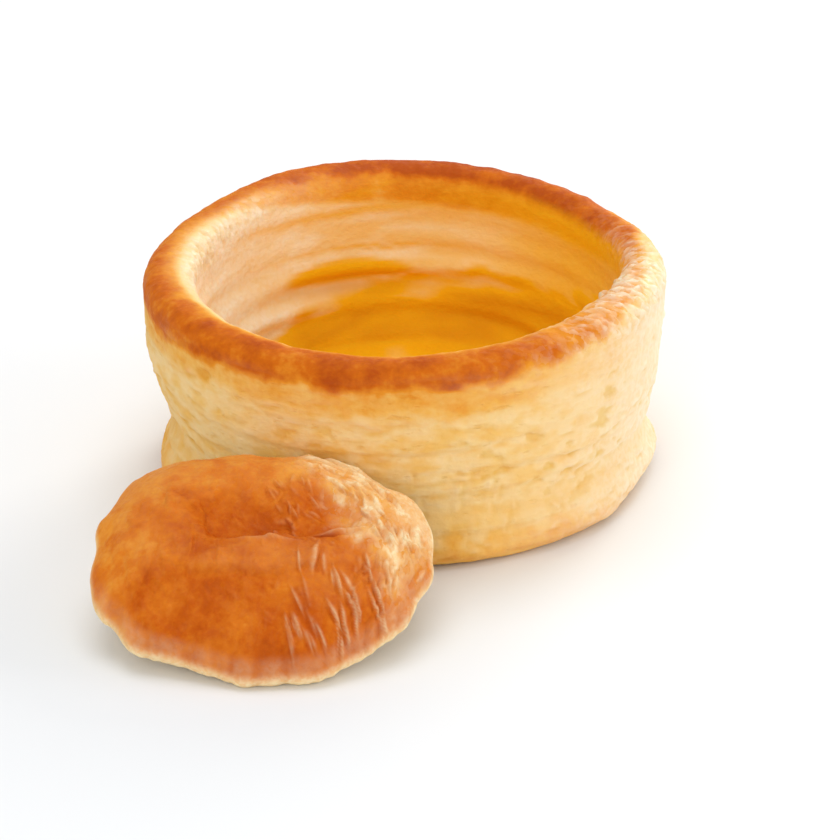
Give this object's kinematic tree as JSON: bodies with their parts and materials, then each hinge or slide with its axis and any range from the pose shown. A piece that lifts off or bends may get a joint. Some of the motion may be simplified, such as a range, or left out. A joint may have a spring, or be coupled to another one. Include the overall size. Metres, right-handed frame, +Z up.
{
  "type": "vol au vent",
  "caption": "Empty round puff pastry case with a browned rim and a deep hollow, and its own baked lid leaning against its side.",
  "frame": {"origin": "centre of the case's flat base, on the table", "axes": "+Z up through the case's open mouth, -Y towards the lid's side, which is the front, +X to the right"},
  "size_m": [0.0975, 0.1293, 0.0413],
  "materials": {
    "case_pastry": "satin baked puff pastry, cream layers under a golden brown glazed rim",
    "lid_crust": "egg-glazed brown crust, wrinkled, with pale flaky edges"
  },
  "bodies": {
    "root": {"pastry_case": "case_pastry", "pastry_lid": "lid_crust"}
  },
  "joints": []
}
